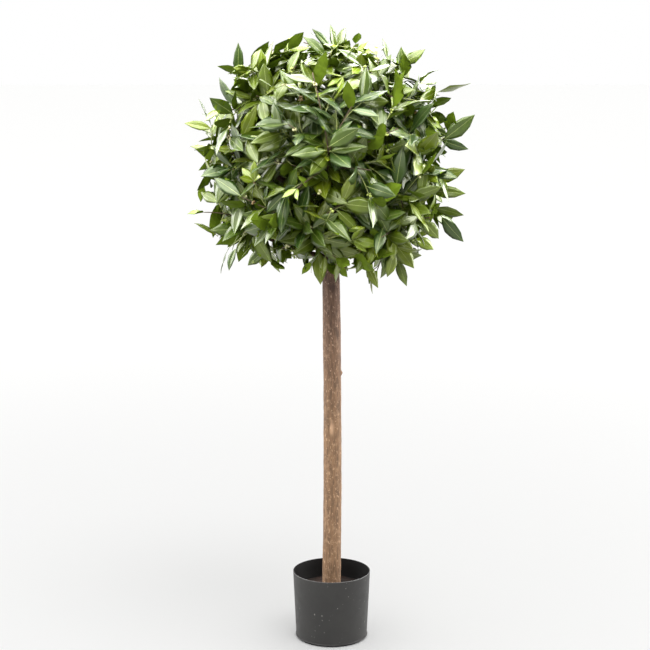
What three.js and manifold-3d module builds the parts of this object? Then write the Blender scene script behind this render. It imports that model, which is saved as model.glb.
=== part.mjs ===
// An artificial standard bay tree: a round head of leathery leaves on one bare stem, set in a small
// plastic pot that is filled with cement. Millimetres, +Z up. The origin is the middle of the pot's
// flat underside.
//
// The head grows by one rule. Boughs leave the trunk in tiers, and each carries one mass of foliage;
// the leader's tip carries the top one. A mass has a stem that goes on from its limb's tip, shoots that
// branch from the stem towards points spread evenly over the head, and leaves that turn to where the
// head has most room. The masses share the head out: a point belongs to the mass whose middle is
// nearest, and a shoot or leaf that would cross that border, or a limb, is left out.
import * as THREE from 'three';
import { mergeVertices } from 'three/addons/utils/BufferGeometryUtils.js';
import Module from 'manifold-3d';

const wasm = await Module();
wasm.setup();

const GAP = 0.3; // clear space between pieces that touch on the real tree
const WELD = 1e-3; // corners nearer to each other than this count as one
const DEGREE = Math.PI / 180;
const GOLDEN_ANGLE = Math.PI * (3 - Math.sqrt(5));
const UP = new THREE.Vector3(0, 0, 1);

// Pot and its cement
const POT = {
  height: 134,
  rimRadius: 76,
  baseRadius: 69.9,
  wall: 1.8,
  floor: 3,
  footHeight: 3.6, // a band round the foot, set back under the wall's lower edge
  footInset: 2.4,
  sides: 40,
};
const FILL_TOP = 97.5;

// Trunk: a bare stem up to the fork, and a thinner leader that runs on up inside the head
const TRUNK = {
  foot: FILL_TOP + GAP,
  fork: 750,
  tip: 1010,
  footRadius: 19.1,
  flareHeight: 18, // the height in which the root flare dies away
  flare: 1.2,
  forkRadius: 16.5,
  leaderRadius: 9.5, // just above the fork's boughs
  leaderStart: 800,
  tipRadius: 4.5,
  lean: -2, // sideways at the fork
  leaderLean: 7, // back to the other side at the tip
  sides: 14,
  segments: 14,
};
const KNOT = { height: 532, radius: 8, stands: 2.2, azimuth: -12 };

// Head
const HEAD = {
  centre: new THREE.Vector3(-10, 0, 945),
  halfWidth: 268,
  above: 262,
  below: 238,
  squarenessAbove: 2.35,
  squarenessBelow: 2.8,
};

// Boughs, tier by tier: how many, where the first leaves the trunk, how much higher the next one
// leaves, the middle of the masses they carry, and the azimuth of the first
const TIERS = [
  { boughs: 5, leave: 753, climb: 8, reach: 152, height: 835, turn: 188 },
  { boughs: 4, leave: 842, climb: 15, reach: 150, height: 958, turn: 271 },
  { boughs: 3, leave: 925, climb: 20, reach: 104, height: 1070, turn: 200 },
];
const TOP_MASS_HEIGHT = 1112;
const BOUGH = {
  baseRadius: 7.2,
  tipRadius: 4.4,
  reachShare: 0.72, // how far it runs towards the middle of its mass
  riseShare: 0.5, // how far it climbs towards it
  midRiseShare: 0.3, // how much of that climb it has made half way along
  sides: 6,
  segments: 4,
};

// Foliage: the stem of a mass, its shoots and their leaves. bendShare is how far a limb keeps to its
// parent's direction before it turns to its own tip.
const STEM = { baseRadius: 4.4, tipRadius: 3.2, reachShare: 0.7, bendShare: 0.4, sides: 4, segments: 3 };
const SHOOT = {
  baseRadius: 2.1,
  tipRadius: 1.4,
  bendShare: 0.35,
  backShare: 0.7, // how far before its tip's foot it leaves the stem, for each mm it goes aside
  firstPlace: 0.1, // the stretch of the stem that shoots leave
  lastPlace: 0.97,
  sides: 3,
  segments: 2,
};
const OUTER_SHOOTS = { count: 86, share: 0.81 }; // share: how far out the tips lie in the head's reach
const INNER_SHOOTS = { count: 24, share: 0.55 };
const SHARE_SPREAD = 0.1;
const LEAVES_PER_SHOOT = 5;
const LEAF = {
  length: 88,
  width: 40,
  thickness: 1.2,
  shoulder: 0.31, // where its broadest corners lie along it, and, from the tip, the next two
  taperShare: 0.86, // how broad it is at those two, as a share of its full width
  bend: 9,
  firstShare: 0.45, // where on its shoot the first leaf sits, and the last
  lastShare: 0.98,
  firstSpread: 84, // the angle between shoot and leaf, there
  lastSpread: 57,
  droop: 0.14,
  firstSize: 1.06,
  lastSize: 0.84,
  sizeSpread: 0.05,
  crampedSizes: [1, 0.8, 0.65], // tried in turn where space is short
  lookingUp: 0.5, // how far upper faces turn from the shoot's tip to the sky
  swings: [-24, 0, 24], // a leaf's turn from the middle of the face of the shoot that it leaves
  rootShare: 0.06, // next to its root a leaf may cross its neighbours and the twig
};
const SEED = 8;

/** A repeatable random number between 0 and 1 at each call. */
function seededRandom(seed) {
  let state = seed >>> 0;
  return () => {
    state = (state + 0x6d2b79f5) >>> 0;
    let mixed = Math.imul(state ^ (state >>> 15), state | 1);
    mixed ^= mixed + Math.imul(mixed ^ (mixed >>> 7), mixed | 61);
    return ((mixed ^ (mixed >>> 14)) >>> 0) / 4294967296;
  };
}

/** A closed geometry as a solid that can be joined and cut. */
function solidFrom(geometry) {
  const bare = new THREE.BufferGeometry();
  bare.setAttribute('position', geometry.getAttribute('position'));
  bare.setIndex(geometry.index);
  const merged = mergeVertices(bare, 1e-4);
  return new wasm.Manifold(new wasm.Mesh({
    numProp: 3,
    vertProperties: merged.getAttribute('position').array,
    triVerts: new Uint32Array(merged.index.array),
  }));
}

/** A solid as a geometry. */
function bareGeometry(solid) {
  const mesh = solid.getMesh();
  const geometry = new THREE.BufferGeometry();
  geometry.setAttribute('position', new THREE.BufferAttribute(mesh.vertProperties, 3));
  geometry.setIndex(new THREE.BufferAttribute(mesh.triVerts, 1));
  return geometry;
}

function geometryFrom(solid) {
  const geometry = bareGeometry(solid);
  geometry.computeVertexNormals();
  return geometry;
}

/**
 * A tapering limb: a closed cylinder whose rings are carried along a curve. radiusAt gives the radius
 * for a share of the length. spare makes it that much fatter, and longer at both ends.
 */
function limbGeometry(curve, radiusAt, sides, segments, spare = 0) {
  const geometry = new THREE.CylinderGeometry(1, 1, 1, sides, segments);
  const frames = curve.computeFrenetFrames(segments, false);
  const rings = curve.getSpacedPoints(segments);
  rings[0].addScaledVector(frames.tangents[0], -spare);
  rings[segments].addScaledVector(frames.tangents[segments], spare);
  const place = geometry.getAttribute('position');
  for (let i = 0; i < place.count; i += 1) {
    const ring = Math.round((place.getY(i) + 0.5) * segments);
    const radius = radiusAt(ring / segments) + spare;
    const point = rings[ring].clone()
      .addScaledVector(frames.normals[ring], place.getX(i) * radius)
      .addScaledVector(frames.binormals[ring], -place.getZ(i) * radius);
    place.setXYZ(i, point.x, point.y, point.z);
  }
  return geometry;
}

/** The middle of a limb at a share of its length, on the straight line between two of its rings. */
function limbMiddleAt(curve, segments, share) {
  const rings = curve.getSpacedPoints(segments);
  const ring = Math.min(Math.floor(share * segments), segments - 1);
  return rings[ring].lerp(rings[ring + 1], share * segments - ring);
}

/** A straight change of radius from one end of a limb to the other. */
function taper(baseRadius, tipRadius) {
  return (share) => THREE.MathUtils.lerp(baseRadius, tipRadius, share);
}

/** A named mesh with a finish of its own. */
function piece(name, geometry, color, roughness) {
  const material = new THREE.MeshStandardMaterial({ color, roughness, metalness: 0 });
  const mesh = new THREE.Mesh(geometry, material);
  mesh.name = name;
  return mesh;
}

// ---- Pot and cement ----

/** The pot wall's outer radius at a height. */
function potRadiusAt(height) {
  return THREE.MathUtils.lerp(POT.baseRadius, POT.rimRadius, height / POT.height);
}

/** A body turned about the vertical axis from its profile of radius and height pairs. */
function turned(profile) {
  const points = profile.map(([radius, height]) => new THREE.Vector2(radius, height));
  return new THREE.LatheGeometry(points, POT.sides).rotateX(Math.PI / 2);
}

function potGeometry() {
  const footRadius = potRadiusAt(POT.footHeight);
  return turned([
    [0, 0],
    [footRadius - POT.footInset, 0],
    [footRadius - POT.footInset, POT.footHeight - 1],
    [footRadius, POT.footHeight],
    [POT.rimRadius, POT.height],
    [POT.rimRadius - POT.wall, POT.height],
    [potRadiusAt(POT.footHeight + POT.floor) - POT.wall, POT.footHeight + POT.floor],
    [0, POT.footHeight + POT.floor],
  ]);
}

function fillGeometry() {
  const bottom = POT.footHeight + POT.floor + GAP;
  return turned([
    [0, bottom],
    [potRadiusAt(bottom) - POT.wall - GAP, bottom],
    [potRadiusAt(FILL_TOP) - POT.wall - GAP, FILL_TOP],
    [0, FILL_TOP],
  ]);
}

// ---- Trunk and boughs ----

/** The middle of the trunk at a height: a slight lean to the fork, and back again along the leader. */
function trunkCentreAt(height) {
  const bare = THREE.MathUtils.clamp((height - TRUNK.foot) / (TRUNK.fork - TRUNK.foot), 0, 1);
  const inside = THREE.MathUtils.clamp((height - TRUNK.fork) / (TRUNK.tip - TRUNK.fork), 0, 1);
  return new THREE.Vector3(TRUNK.lean * bare * bare + TRUNK.leaderLean * inside, 0, height);
}

/** The trunk's radius at a height: root flare, bare stem, the fork's shoulder, then the leader. */
function trunkRadiusAt(height) {
  const { MathUtils } = THREE;
  if (height <= TRUNK.fork) {
    const share = (height - TRUNK.foot) / (TRUNK.fork - TRUNK.foot);
    const flare = TRUNK.flare * Math.exp(-3 * (height - TRUNK.foot) / TRUNK.flareHeight);
    return MathUtils.lerp(TRUNK.footRadius - TRUNK.flare, TRUNK.forkRadius, share) + flare;
  }
  if (height <= TRUNK.leaderStart) {
    return MathUtils.mapLinear(height, TRUNK.fork, TRUNK.leaderStart, TRUNK.forkRadius, TRUNK.leaderRadius);
  }
  return MathUtils.mapLinear(height, TRUNK.leaderStart, TRUNK.tip, TRUNK.leaderRadius, TRUNK.tipRadius);
}

class TrunkCurve extends THREE.Curve {
  getPoint(share) {
    return trunkCentreAt(THREE.MathUtils.lerp(TRUNK.foot, TRUNK.tip, share));
  }
}

function trunkSolid(spare = 0) {
  const radiusAt = (share) => trunkRadiusAt(THREE.MathUtils.lerp(TRUNK.foot, TRUNK.tip, share));
  const stem = solidFrom(limbGeometry(new TrunkCurve(), radiusAt, TRUNK.sides, TRUNK.segments, spare));
  const swelling = new THREE.SphereGeometry(KNOT.radius, 8, 6);
  const middle = trunkCentreAt(KNOT.height);
  const out = trunkRadiusAt(KNOT.height) + KNOT.stands - KNOT.radius;
  middle.x += out * Math.cos(KNOT.azimuth * DEGREE);
  middle.y += out * Math.sin(KNOT.azimuth * DEGREE);
  swelling.translate(middle.x, middle.y, middle.z);
  return stem.add(solidFrom(swelling));
}

/** The middle of a mass, from its distance to the head's axis, its azimuth and its height. */
function headPoint(reach, azimuth, height) {
  return new THREE.Vector3(
    HEAD.centre.x + reach * Math.cos(azimuth * DEGREE),
    HEAD.centre.y + reach * Math.sin(azimuth * DEGREE),
    height,
  );
}

/** Every bough as the curve it follows and the middle of the mass it carries. */
function boughPlans() {
  const plans = [];
  for (const tier of TIERS) {
    for (let i = 0; i < tier.boughs; i += 1) {
      const middle = headPoint(tier.reach, tier.turn + (i * 360) / tier.boughs, tier.height);
      const order = (2 * i) % tier.boughs; // neighbours in azimuth leave at different heights
      const start = trunkCentreAt(tier.leave + order * tier.climb);
      const tip = start.clone().lerp(middle, BOUGH.reachShare);
      tip.z = THREE.MathUtils.lerp(start.z, middle.z, BOUGH.riseShare);
      const bend = start.clone().lerp(tip, 0.5);
      bend.z = THREE.MathUtils.lerp(start.z, tip.z, BOUGH.midRiseShare);
      plans.push({ middle, curve: new THREE.QuadraticBezierCurve3(start, bend, tip) });
    }
  }
  return plans;
}

function boughSolid(curve, spare = 0) {
  const radiusAt = taper(BOUGH.baseRadius, BOUGH.tipRadius);
  return solidFrom(limbGeometry(curve, radiusAt, BOUGH.sides, BOUGH.segments, spare));
}

// ---- Foliage ----

/** How far the head reaches from its centre in a direction: a rounded box, squarer below. */
function headReach(direction) {
  const isAbove = direction.z > 0;
  const power = isAbove ? HEAD.squarenessAbove : HEAD.squarenessBelow;
  const across = Math.hypot(direction.x, direction.y) / HEAD.halfWidth;
  const along = Math.abs(direction.z) / (isAbove ? HEAD.above : HEAD.below);
  return (across ** power + along ** power) ** (-1 / power);
}

/** The planes between the mass round one middle and every other, with their normals towards it. */
function bordersRound(home, middles) {
  return middles.filter((other) => other !== home).map((other) => {
    const border = home.clone().add(other).multiplyScalar(0.5);
    return new THREE.Plane().setFromNormalAndCoplanarPoint(home.clone().sub(other).normalize(), border);
  });
}

/** Whether all of a solid's corners lie in the head and on the inner side of every border. */
function keepsToSpace(solid, borders) {
  const corners = solid.getMesh().vertProperties;
  const corner = new THREE.Vector3();
  for (let i = 0; i < corners.length; i += 3) {
    corner.fromArray(corners, i);
    const outward = corner.clone().sub(HEAD.centre);
    if (outward.length() > headReach(outward.clone().normalize())) return false;
    if (borders.some((border) => border.distanceToPoint(corner) < GAP)) return false;
  }
  return true;
}

/** The tips of a shell of shoots: points of a golden spiral round the head, at a share of its reach. */
function shootTips({ count, share }, random) {
  const tips = [];
  for (let k = 0; k < count; k += 1) {
    const height = 1 - (2 * k + 1) / count;
    const across = Math.sqrt(1 - height * height);
    const turn = k * GOLDEN_ANGLE;
    const direction = new THREE.Vector3(across * Math.cos(turn), across * Math.sin(turn), height);
    const reach = headReach(direction) * (share + SHARE_SPREAD * (2 * random() - 1));
    tips.push(HEAD.centre.clone().addScaledVector(direction, reach));
  }
  return tips;
}

/**
 * A leaf: a flat blade of six corners with a raised middle, pointed at both ends and bent down along
 * its length. It starts at root and points along direction, with its upper face towards facing.
 * skipped is the share of its length next to the root that is left off.
 */
function leafSolid({ root, direction, facing, size }, skipped = 0) {
  const side = facing.clone().cross(direction).normalize();
  const above = direction.clone().cross(side);
  const place = ([share, out, rise]) => {
    const along = THREE.MathUtils.lerp(skipped, 1, share);
    return root.clone()
      .addScaledVector(direction, along * LEAF.length * size)
      .addScaledVector(side, out * (LEAF.width / 2) * size)
      .addScaledVector(above, (rise * LEAF.thickness - LEAF.bend * along * along) * size);
  };
  const { shoulder, taperShare } = LEAF;
  const corners = [
    [0, 0, 0],
    [shoulder, -1, 0],
    [1 - shoulder, -taperShare, 0],
    [1, 0, 0],
    [1 - shoulder, taperShare, 0],
    [shoulder, 1, 0],
    [0.5, 0, 1],
  ].map(place);
  const upper = [0, 1, 6, 1, 2, 6, 2, 3, 6, 3, 4, 6, 4, 5, 6, 5, 0, 6];
  const lower = [0, 5, 1, 1, 5, 4, 1, 4, 2, 2, 4, 3];
  return solidFrom(new THREE.BufferGeometry().setFromPoints(corners).setIndex([...upper, ...lower]));
}

/** The ways in which the leaf at one place on a shoot can turn: a few to each side of every face. */
function leafPlans(curve, frames, order, size) {
  const share = THREE.MathUtils.lerp(LEAF.firstShare, LEAF.lastShare, order / (LEAVES_PER_SHOOT - 1));
  const step = Math.round(share * (frames.tangents.length - 1));
  const tangent = frames.tangents[step];
  const root = limbMiddleAt(curve, SHOOT.segments, share);
  const spread = THREE.MathUtils.lerp(LEAF.firstSpread, LEAF.lastSpread, share) * DEGREE;
  const facing = tangent.clone().addScaledVector(UP, LEAF.lookingUp);
  const plans = [];
  for (const swing of LEAF.swings) {
    for (let face = 0; face < SHOOT.sides; face += 1) {
      const turn = (90 + (360 / SHOOT.sides) * face + swing) * DEGREE;
      const direction = frames.normals[step].clone().multiplyScalar(Math.cos(turn))
        .addScaledVector(frames.binormals[step], Math.sin(turn))
        .multiplyScalar(Math.sin(spread))
        .addScaledVector(tangent, Math.cos(spread));
      direction.z -= LEAF.droop;
      direction.normalize();
      const middle = root.clone().addScaledVector(direction, 0.6 * LEAF.length * size);
      plans.push({ root, direction, facing, size, middle });
    }
  }
  return plans;
}

/** How much room a place in the head has: the distance, squared, to the nearest leaf's middle. */
function roomAt(place, leafMiddles) {
  return leafMiddles.reduce((least, other) => Math.min(least, place.distanceToSquared(other)), Infinity);
}

/** Grows a shoot's leaves: each turns to where the head has most room among the turns that join takes. */
function growLeaves(curve, join, leafMiddles, random) {
  const frames = curve.computeFrenetFrames(LEAVES_PER_SHOOT, false);
  for (let order = 0; order < LEAVES_PER_SHOOT; order += 1) {
    const youth = order / (LEAVES_PER_SHOOT - 1);
    const size = THREE.MathUtils.lerp(LEAF.firstSize, LEAF.lastSize, youth)
      * (1 + LEAF.sizeSpread * (2 * random() - 1));
    const choices = LEAF.crampedSizes.flatMap((cramped) => leafPlans(curve, frames, order, size * cramped)
      .map((plan) => ({ plan, room: roomAt(plan.middle, leafMiddles) }))
      .sort((one, other) => other.room - one.room));
    const taken = choices.find(({ plan }) => join(leafSolid(plan), leafSolid(plan, LEAF.rootShare)));
    if (taken) leafMiddles.push(taken.plan.middle);
  }
}

/** The stem of a mass, which goes on from its limb's tip towards the outside of the head. */
function stemCurve(limb, middle) {
  const direction = limb.getTangentAt(1);
  const start = limb.getPointAt(1).addScaledVector(direction, GAP);
  const outward = middle.clone().sub(HEAD.centre).normalize();
  const end = HEAD.centre.clone().addScaledVector(outward, headReach(outward) * STEM.reachShare);
  const bend = start.clone().addScaledVector(direction, STEM.bendShare * start.distanceTo(end));
  return new THREE.QuadraticBezierCurve3(start, bend, end);
}

/** The curve of a shoot that leaves a stem and turns towards its own tip. */
function shootCurve(stem, tip) {
  const base = stem.getPointAt(0);
  const line = new THREE.Line3(base, stem.getPointAt(1));
  const along = line.closestPointToPointParameter(tip, false);
  const aside = line.at(along, new THREE.Vector3()).distanceTo(tip) / line.distance();
  const place = THREE.MathUtils.clamp(along - SHOOT.backShare * aside, SHOOT.firstPlace, SHOOT.lastPlace);
  const start = stem.getPointAt(place);
  const onward = stem.getTangentAt(place).multiplyScalar(SHOOT.bendShare * start.distanceTo(tip));
  const bend = start.clone().add(onward);
  return new THREE.QuadraticBezierCurve3(start, bend, tip);
}

/** The largest body of a solid: no loose scrap and no sealed hollow stays. */
function largestBody(solid) {
  return solid.decompose().reduce((best, body) => (body.volume() > best.volume() ? body : best));
}

/** Whether every edge of a solid still has only its two faces once its nearest corners are one. */
function staysClosed(solid) {
  const { index } = mergeVertices(bareGeometry(solid), WELD);
  const edges = new Set();
  for (let i = 0; i < index.count; i += 3) {
    const face = [index.getX(i), index.getX(i + 1), index.getX(i + 2)];
    if (new Set(face).size === 3) face.forEach((corner, j) => edges.add(`${corner} ${face[(j + 1) % 3]}`));
    else edges.add(`flat ${i}`).add(`flat ${i + 1}`).add(`flat ${i + 2}`);
  }
  return edges.size === index.count;
}

/**
 * One mass of foliage, joined into a single body. isInSpace tells whether a solid fits in its space.
 * A shoot or leaf whose joint with the rest would not close is left out.
 */
function massSolid(stem, tips, isInSpace, leafMiddles, random) {
  const twigSolid = (curve, { baseRadius, tipRadius, sides, segments }) => (
    solidFrom(limbGeometry(curve, taper(baseRadius, tipRadius), sides, segments)));
  let wood = twigSolid(stem, STEM);
  const shoots = tips.map((tip) => shootCurve(stem, tip)).filter((curve) => {
    const twig = twigSolid(curve, SHOOT);
    const joined = wood.add(twig);
    const fits = isInSpace(twig) && staysClosed(joined);
    if (fits) wood = joined;
    return fits;
  });
  let mass = wood;
  const blades = [];
  const join = (leaf, blade) => {
    const isFree = isInSpace(leaf) && blade.intersect(wood).isEmpty()
      && blades.every((other) => blade.intersect(other).isEmpty());
    const joined = isFree && mass.add(leaf);
    if (!isFree || !staysClosed(joined)) return false;
    mass = joined;
    blades.push(blade);
    return true;
  };
  for (const curve of shoots) growLeaves(curve, join, leafMiddles, random);
  return largestBody(mass);
}

// ---- The tree ----

const tree = new THREE.Group();
tree.add(piece('pot', potGeometry(), 0x4b4a46, 0.55));
tree.add(piece('pot_fill', fillGeometry(), 0x3a2a22, 0.95));
tree.add(piece('trunk', geometryFrom(trunkSolid()), 0x8f6e57, 0.85));

const plans = boughPlans();
const trunkWithGap = trunkSolid(GAP);
plans.forEach(({ curve }, i) => {
  const bough = largestBody(boughSolid(curve).subtract(trunkWithGap));
  tree.add(piece(`bough_${String(i + 1).padStart(2, '0')}`, geometryFrom(bough), 0x6e5140, 0.85));
});

const GUARD = GAP * 0.8; // a little less than the gap, so that a stem may start from its limb's tip
const limbsWithGap = wasm.Manifold.union([
  trunkSolid(GUARD),
  ...plans.map(({ curve }) => boughSolid(curve, GUARD)),
]);
const masses = [
  ...plans.map(({ middle, curve }, i) => (
    { name: `foliage_${String(i + 1).padStart(2, '0')}`, middle, limb: curve })),
  { name: 'foliage_top', middle: headPoint(0, 0, TOP_MASS_HEIGHT), limb: new TrunkCurve() },
];
const middles = masses.map(({ middle }) => middle);
const random = seededRandom(SEED);
const tips = [...shootTips(OUTER_SHOOTS, random), ...shootTips(INNER_SHOOTS, random)];
const leafMiddles = [];
for (const { name, middle, limb } of masses) {
  const borders = bordersRound(middle, middles);
  const own = tips.filter((tip) => borders.every((border) => border.distanceToPoint(tip) > 0));
  const isInSpace = (solid) => keepsToSpace(solid, borders) && solid.intersect(limbsWithGap).isEmpty();
  const mass = massSolid(stemCurve(limb, middle), own, isInSpace, leafMiddles, random);
  tree.add(piece(name, geometryFrom(mass), 0x5d7d3e, 0.5));
}

export default tree;
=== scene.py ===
import bpy
import numpy as np
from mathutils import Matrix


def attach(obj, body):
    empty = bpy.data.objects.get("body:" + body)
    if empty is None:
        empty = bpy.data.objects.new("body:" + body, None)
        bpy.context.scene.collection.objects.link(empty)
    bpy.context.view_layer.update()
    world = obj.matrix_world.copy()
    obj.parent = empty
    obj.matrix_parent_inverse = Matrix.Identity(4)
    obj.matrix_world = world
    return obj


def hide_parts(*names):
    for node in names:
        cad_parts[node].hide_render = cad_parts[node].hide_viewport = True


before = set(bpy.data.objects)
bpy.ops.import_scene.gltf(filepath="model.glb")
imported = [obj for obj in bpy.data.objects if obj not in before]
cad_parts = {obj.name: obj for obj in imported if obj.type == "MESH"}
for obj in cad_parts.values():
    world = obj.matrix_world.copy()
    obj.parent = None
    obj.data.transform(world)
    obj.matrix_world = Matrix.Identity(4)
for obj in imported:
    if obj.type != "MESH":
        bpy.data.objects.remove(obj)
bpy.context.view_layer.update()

# ------------------------------------------------------------
# Studio. A seamless paper floor under a white surround, painted greyer round the tree as a painted
# shadow. Broad soft lamps hang over the tree, before it, behind it and on both sides, and a high distant
# one gives the floor its faint shadow. A long lens looks straight at the tree from a little above.
FLOOR_HALF = 60.0
# Painted shadow on the floor: where it is deepest, how far off it fades out, and the paper's colour in
# it and beyond it
PAINTED_SHADOW_CENTRE = (-0.35, 0.65, 0)
PAINTED_SHADOW_REACH = (0.2, 3.0)
PAPER_IN_PAINTED_SHADOW = (0.895, 0.895, 0.89, 1)
PAPER_PLAIN = (0.985, 0.985, 0.977, 1)
SURROUND_LIGHT = 0.97
SURROUND_MIRRORED = 0.2
SURROUND_SEEN = 1.0
LAMPS = (  # name, place, aim, size, power
    ("top_lamp", (-0.20, -0.45, 2.60), (0, 0, 1.0), 2.6, 160),
    ("key_lamp", (-1.6, -2.1, 2.1), (0, 0, 0.8), 1.8, 44),
    ("left_lamp", (-1.9, 0.7, 1.7), (0, 0, 0.95), 1.8, 85),
    ("right_lamp", (1.9, 0.4, 1.7), (0, 0, 0.95), 1.8, 135),
    ("rear_lamp", (0.3, 1.9, 2.4), (0, 0, 0.9), 2.0, 130),
)
HIGH_LAMP_POWER = 0.40
HIGH_LAMP_SOFTNESS = np.radians(32)
HIGH_LAMP_TURN = np.radians((24, 0, 33))
LENS = 85
LENS_FRAME = 36
CAMERA_PLACE = (-0.0130, -2.905, 1.134)
CAMERA_TILT = np.radians(90 - 9.93)
WHITE = (1, 1, 1, 1)
BLACK = (0, 0, 0, 1)


def settle(node, **values):
    """Sets inputs of a node by name, where _ stands for a space. Returns the node."""
    for name, value in values.items():
        node.inputs[name.replace("_", " ")].default_value = value
    return node


def node_of(tree, kind, **values):
    """A new shader node of a kind in a tree, with inputs set by name. Returns the node."""
    return settle(tree.nodes.new("ShaderNode" + kind), **values)


def shader_of(name, **values):
    """A new material, with its shader's inputs set by name. Returns it, its node tree and the shader."""
    material = bpy.data.materials.new(name)
    material.use_nodes = True
    tree = material.node_tree
    return material, tree, settle(tree.nodes["Principled BSDF"], **values)


def srgb(red, green, blue):
    """A display colour of three numbers up to 255, as the linear colour that a shader socket takes."""
    share = np.array([red, green, blue]) / 255
    linear = np.where(share <= 0.04045, share / 12.92, ((share + 0.055) / 1.055) ** 2.4)
    return (*(float(v) for v in linear), 1.0)


def ranged(tree, value, limits, kind="LINEAR"):
    """A value brought from between two limits to between 0 and 1, by a kind of interpolation. Returns
    its socket."""
    node = node_of(tree, "MapRange", From_Min=limits[0], From_Max=limits[1])
    node.interpolation_type = kind
    tree.links.new(value, node.inputs["Value"])
    return node.outputs["Result"]


def steps_of(tree, value, stops):
    """A colour ramp over a value. stops are pairs of place and colour. Returns its colour socket."""
    ramp = node_of(tree, "ValToRGB")
    while len(ramp.color_ramp.elements) < len(stops):
        ramp.color_ramp.elements.new(0.5)
    for element, (place, colour) in zip(ramp.color_ramp.elements, stops):
        element.position = place
        element.color = colour
    tree.links.new(value, ramp.inputs["Fac"])
    return ramp.outputs["Color"]


def stand(name, data, place=(0, 0, 0), turn=(0, 0, 0)):
    """A new object in the scene, at a place and turned about x, y and z."""
    thing = bpy.data.objects.new(name, data)
    thing.location = place
    thing.rotation_euler = turn
    bpy.context.scene.collection.objects.link(thing)
    return thing


lit_pieces = bpy.data.collections.new("lit_pieces")


def mesh_piece(name, points, faces, materials):
    """An object at the origin, from points, a list of faces and its materials in slot order."""
    mesh = bpy.data.meshes.new(name)
    mesh.from_pydata(points.tolist(), [], faces)
    mesh.polygons.foreach_set("use_smooth", np.full(len(mesh.polygons), True))
    for material in materials:
        mesh.materials.append(material)
    piece = stand(name, mesh)
    if name != "floor":
        lit_pieces.objects.link(piece)
    return piece


# The floor's colour holds a painted shadow: greyer near a spot behind and left of the tree, fading to
# plain paper further off.
floor_paper, floor_tree, floor_shader = shader_of("floor_paper", Roughness=0.9)
floor_shadow_distance = node_of(floor_tree, "VectorMath")
floor_shadow_distance.operation = "DISTANCE"
floor_shadow_distance.inputs[1].default_value = PAINTED_SHADOW_CENTRE
floor_tree.links.new(node_of(floor_tree, "TexCoord").outputs["Object"], floor_shadow_distance.inputs[0])
floor_shadow_fade = ranged(floor_tree, floor_shadow_distance.outputs["Value"], PAINTED_SHADOW_REACH, "SMOOTHSTEP")
floor_tree.links.new(steps_of(floor_tree, floor_shadow_fade, [(0, PAPER_IN_PAINTED_SHADOW), (1, PAPER_PLAIN)]),
                     floor_shader.inputs["Base Color"])
floor_corners = FLOOR_HALF * np.array([[-1, -1, 0], [1, -1, 0], [1, 1, 0], [-1, 1, 0]])
floor = mesh_piece("floor", floor_corners, [[0, 1, 2, 3]], [floor_paper])

bpy.context.scene.view_settings.view_transform = "Standard"
world = bpy.data.worlds.new("studio")
bpy.context.scene.world = world
world.use_nodes = True
sky = world.node_tree
sky.nodes.remove(sky.nodes["Background"])
rays = node_of(sky, "LightPath")


def white_surround(strength):
    """A white surround of one strength, as a shader socket."""
    return node_of(sky, "Background", Color=WHITE, Strength=strength).outputs[0]


def surround_for(ray, plain, other):
    """One surround for the rays of a kind, and a plain one for the rest."""
    either = node_of(sky, "MixShader")
    for socket, value in zip(either.inputs, (rays.outputs[ray], plain, other)):
        sky.links.new(value, socket)
    return either.outputs[0]


lighting, mirrored, seen = map(white_surround, (SURROUND_LIGHT, SURROUND_MIRRORED, SURROUND_SEEN))
sky.links.new(surround_for("Is Camera Ray", surround_for("Is Glossy Ray", lighting, mirrored), seen),
              sky.nodes["World Output"].inputs["Surface"])


def soft_lamp(name, place, aim, size, power):
    """A square area lamp that stands at a place and faces an aim."""
    lamp = bpy.data.lights.new(name, "AREA")
    lamp.size = size
    lamp.energy = power
    x, y, z = np.subtract(aim, place)
    return stand(name, lamp, place, (np.arctan2(np.hypot(x, y), -z), 0, np.arctan2(-x, y)))


for lamp in LAMPS:
    soft_lamp(*lamp).light_linking.receiver_collection = lit_pieces

sun = bpy.data.lights.new("high_lamp", "SUN")
sun.energy = HIGH_LAMP_POWER
sun.angle = HIGH_LAMP_SOFTNESS
stand("high_lamp", sun, turn=HIGH_LAMP_TURN)

lens = bpy.data.cameras.new("camera")
lens.lens = LENS
lens.sensor_width = LENS_FRAME
bpy.context.scene.camera = stand("camera", lens, CAMERA_PLACE, (CAMERA_TILT, 0, 0))

# ------------------------------------------------------------
# Pot. A small nursery pot, injection moulded in dark polypropylene: a thin plain wall that widens
# upwards, a softened lip, and a foot band set back under the wall's beaded edge. It stands free.
POT_HEIGHT = 0.134
POT_RIM_RADIUS = 0.076
POT_BASE_RADIUS = 0.0699
POT_WALL = 0.0018
POT_FLOOR = 0.003
POT_FOOT_HEIGHT = 0.0036
POT_FOOT_INSET = 0.0024
POT_SIDES = 160
POT_EDGE = 0.0011
POT_PAINTED_SHADE_ROWS = 8  # of the profile, from the lip's inner side to the closing point, coloured near black as painted shade
POT_SCUFF = srgb(168, 166, 160)


def pot_radius_at(height):
    """The wall's outer radius: a straight widening from the base radius to the rim radius."""
    return POT_BASE_RADIUS + (POT_RIM_RADIUS - POT_BASE_RADIUS) * height / POT_HEIGHT


def round_about(angle, radius=1.0, height=0.0):
    """Points round the vertical axis: radius x cosine, radius x sine, height."""
    columns = np.broadcast_arrays(radius * np.cos(angle), radius * np.sin(angle), height)
    return np.stack(columns, axis=-1)


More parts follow.
